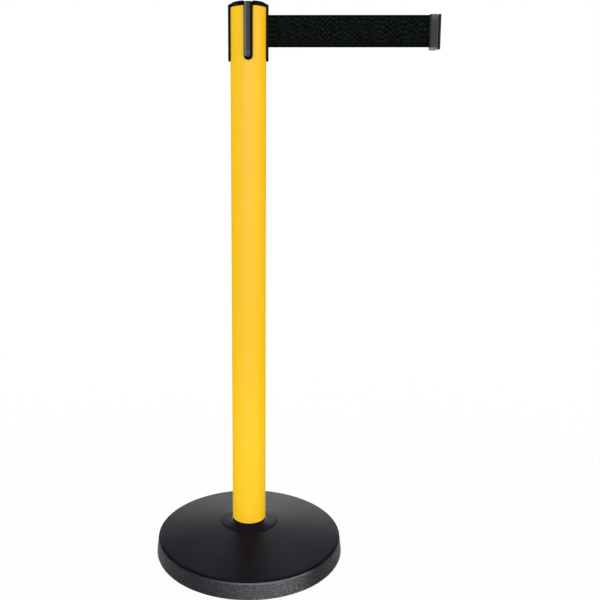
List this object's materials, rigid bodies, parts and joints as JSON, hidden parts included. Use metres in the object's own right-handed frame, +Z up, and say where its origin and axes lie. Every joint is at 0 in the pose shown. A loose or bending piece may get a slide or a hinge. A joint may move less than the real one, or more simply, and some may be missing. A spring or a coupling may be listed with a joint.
{
  "type": "retractable belt barrier post",
  "caption": "Yellow barrier post on a weighted round black base, with a four-way belt head, a spring-return belt drawn out to one side and an end clip that drops into another post.",
  "frame": {"origin": "centre of the base's underside, on the floor", "axes": "+Z up along the post, +X along the drawn-out belt, -Y towards the picture's viewer"},
  "size_m": [0.5171, 0.358, 1.023],
  "materials": {
    "yellow_plastic": "satin, faint moulded grain",
    "cover_black": "satin, fine grain",
    "head_black": "satin",
    "rim_rubber": "rough pebbled",
    "clip_grey": "satin",
    "webbing_black": "woven",
    "cast_iron": "as cast",
    "zinc_steel": "zinc plated",
    "bush_brass": "turned"
  },
  "bodies": {
    "post": {"floor_pad": "rim_rubber", "base_rim": "rim_rubber", "base_weight": "cast_iron", "base_cover": "cover_black", "base_bolt": "zinc_steel", "bolt_washer": "zinc_steel", "post_tube": "yellow_plastic", "tube_plug": "head_black", "plug_insert": "zinc_steel", "cassette_frame": "head_black", "cassette_lid": "head_black", "lid_screw_1": "zinc_steel", "lid_screw_2": "zinc_steel", "lid_screw_3": "zinc_steel", "lid_screw_4": "zinc_steel", "receiver_front": "head_black", "receiver_left": "head_black", "receiver_back": "head_black", "belt_exit": "head_black", "receiver_screw_front": "zinc_steel", "receiver_screw_left": "zinc_steel", "receiver_screw_back": "zinc_steel", "receiver_screw_exit": "zinc_steel", "guide_pin_front": "zinc_steel", "guide_pin_back": "zinc_steel", "spindle": "zinc_steel", "spindle_nut": "zinc_steel", "spring_arbor": "zinc_steel", "power_spring": "zinc_steel", "top_cap": "head_black"},
    "spool": {"spool_drum": "head_black", "spring_barrel": "head_black", "lower_bush": "bush_brass", "upper_bush": "bush_brass", "belt_roll": "webbing_black"},
    "belt_end": {"belt": "webbing_black", "clip_front": "clip_grey", "clip_back": "clip_grey", "clip_rod": "zinc_steel", "clip_screw_upper": "zinc_steel", "clip_screw_lower": "zinc_steel"}
  },
  "joints": [
    {"name": "belt_pull", "type": "slide", "parent": "post", "child": "belt_end", "axis": [1, 0, 0], "range_m": [-0.282, 1.99], "deforming": ["belt"]},
    {"name": "spool_spin", "type": "hinge", "parent": "post", "child": "spool", "pos_m": [0, 0, 0.976], "axis": [0, 0, 1], "range_deg": [-8100, 1200]}
  ],
  "couplings": [
    {"joint": "spool_spin", "follows": "belt_pull", "rad_per_m": -70.1}
  ]
}
